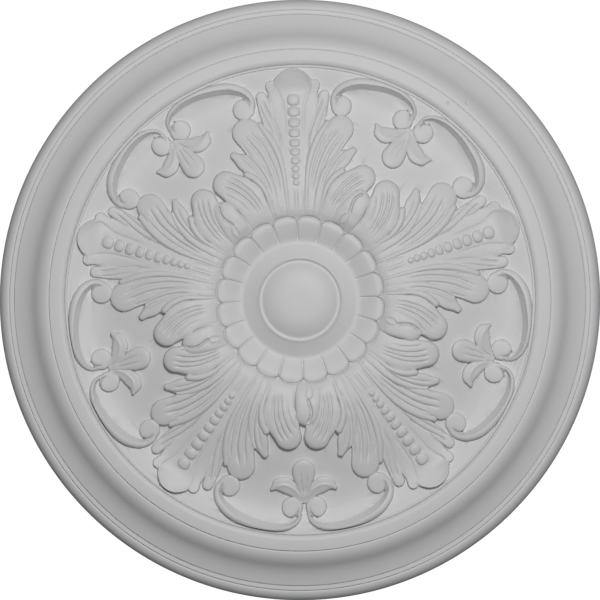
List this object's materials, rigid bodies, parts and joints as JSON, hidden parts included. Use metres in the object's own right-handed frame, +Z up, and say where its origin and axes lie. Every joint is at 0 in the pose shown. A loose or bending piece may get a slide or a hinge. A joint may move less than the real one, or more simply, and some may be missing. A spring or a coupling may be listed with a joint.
{
  "type": "ceiling rose",
  "caption": "Round moulded ceiling rose with a stepped rim, domed field of acanthus leaves, scrolls and beads, and a petal ring round a plain boss.",
  "frame": {"origin": "middle of the flat back, where the rose meets the ceiling", "axes": "+Z points up into the ceiling, square to the back; the carved face looks down along -Z; one of the five leaves points along -Y"},
  "size_m": [0.43, 0.43, 0.0578],
  "materials": {
    "primed_polyurethane": "smooth matt off-white factory primer on moulded foam"
  },
  "bodies": {
    "root": {"ceiling_rose": "primed_polyurethane"}
  },
  "joints": []
}
